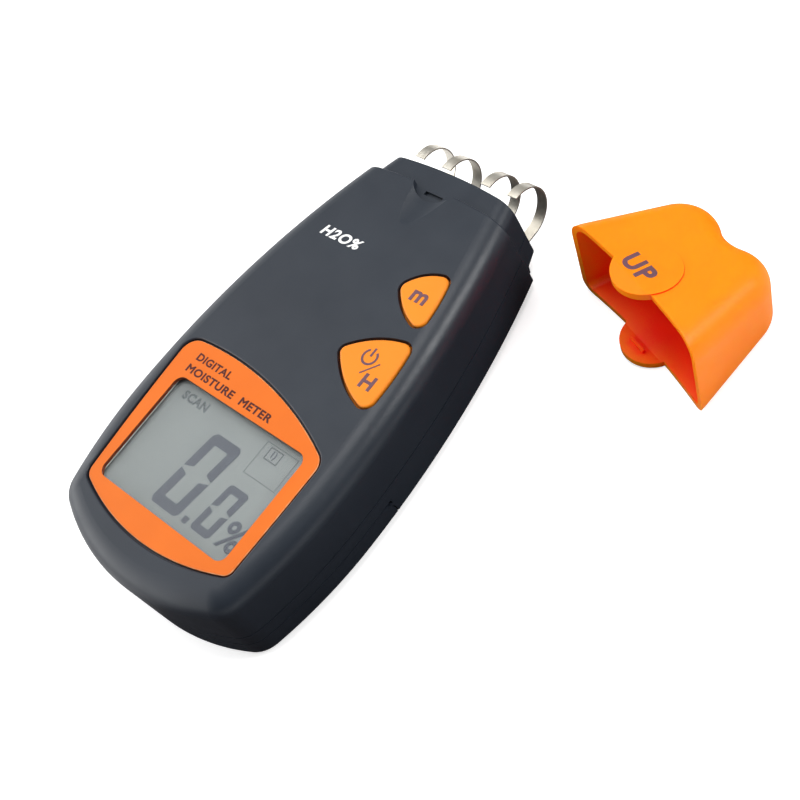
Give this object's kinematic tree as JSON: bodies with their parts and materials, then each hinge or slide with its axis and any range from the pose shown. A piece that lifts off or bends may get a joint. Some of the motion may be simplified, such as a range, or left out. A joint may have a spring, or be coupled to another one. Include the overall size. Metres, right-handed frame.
{
  "type": "moisture meter",
  "caption": "Handheld contact moisture meter: tapered dark housing with display window, two rubber keys, curled spring contacts at the head and a separate push-on cap.",
  "frame": {"origin": "on the flat back of the housing, on its centre line, half way along the body", "axes": "+X across the face to the right, +Y from the display end to the sensor head, +Z out of the front face"},
  "size_m": [0.1228, 0.152, 0.0277],
  "materials": {
    "shell_plastic": "fine matte texture, dark slate grey",
    "orange_plastic": "satin orange",
    "cap_plastic": "satin orange moulding",
    "key_rubber": "soft matte orange silicone",
    "window_clear": "clear moulded window",
    "lcd_glass": "grey-green reflective display glass",
    "frame_plastic": "natural white moulding",
    "dark_rubber": "conductive rubber",
    "board_laminate": "green solder mask",
    "chip_black": "moulded package",
    "component_mix": "mixed small parts",
    "screw_steel": "plated steel",
    "lead_red": "vinyl insulation",
    "lead_black": "vinyl insulation",
    "battery_jacket": "plain printed jacket",
    "snap_black": "vinyl cover",
    "foam_grey": "foam pad",
    "strip_metal": "spring strip, warm nickel"
  },
  "bodies": {
    "housing": {"front_shell": "shell_plastic", "back_shell": "shell_plastic", "display_bezel": "orange_plastic", "display_window": "window_clear", "lcd_panel": "lcd_glass", "lcd_frame": "frame_plastic", "zebra_strips": "dark_rubber", "main_board": "board_laminate", "controller_chip": "chip_black", "amplifier_chip": "chip_black", "board_parts": "component_mix", "keypad_web": "key_rubber", "strip_holder": "frame_plastic", "holder_screws": "screw_steel", "sensor_leads": "lead_red", "battery": "battery_jacket", "battery_snap": "snap_black", "battery_lead_red": "lead_red", "battery_lead_black": "lead_black", "battery_pad": "foam_grey", "shell_screws": "screw_steel"},
    "battery_door": {"battery_door": "shell_plastic"},
    "mode_key": {"mode_key": "key_rubber", "mode_key_pill": "dark_rubber"},
    "power_key": {"power_key": "key_rubber", "power_key_pill": "dark_rubber"},
    "strip_1": {"sensor_strip_1": "strip_metal"},
    "strip_2": {"sensor_strip_2": "strip_metal"},
    "strip_3": {"sensor_strip_3": "strip_metal"},
    "strip_4": {"sensor_strip_4": "strip_metal"},
    "cap": {"cap": "cap_plastic"}
  },
  "joints": [
    {"name": "battery_door_slide", "type": "slide", "parent": "housing", "child": "battery_door", "axis": [0, -1, 0], "range_m": [0, 0.056]},
    {"name": "mode_key_press", "type": "slide", "parent": "housing", "child": "mode_key", "axis": [0, 0, -1], "range_m": [0, 0.0006], "stiffness_N_per_m": 1900},
    {"name": "power_key_press", "type": "slide", "parent": "housing", "child": "power_key", "axis": [0, 0, -1], "range_m": [0, 0.0006], "stiffness_N_per_m": 1900},
    {"name": "strip_1_flex", "type": "hinge", "parent": "housing", "child": "strip_1", "pos_m": [-0.0167, 0.0535, 0.0047], "axis": [1, 0, 0], "range_deg": [0, 4], "stiffness_Nm_per_rad": 0.4},
    {"name": "strip_2_flex", "type": "hinge", "parent": "housing", "child": "strip_2", "pos_m": [-0.0073, 0.0535, 0.0047], "axis": [1, 0, 0], "range_deg": [0, 4], "stiffness_Nm_per_rad": 0.4},
    {"name": "strip_3_flex", "type": "hinge", "parent": "housing", "child": "strip_3", "pos_m": [0.0073, 0.0535, 0.0047], "axis": [1, 0, 0], "range_deg": [0, 4], "stiffness_Nm_per_rad": 0.4},
    {"name": "strip_4_flex", "type": "hinge", "parent": "housing", "child": "strip_4", "pos_m": [0.0167, 0.0535, 0.0047], "axis": [1, 0, 0], "range_deg": [0, 4], "stiffness_Nm_per_rad": 0.4},
    {"name": "cap_pull", "type": "slide", "parent": "housing", "child": "cap", "axis": [0.3305, 0.9438, 0], "range_m": [0, 0.02]}
  ]
}
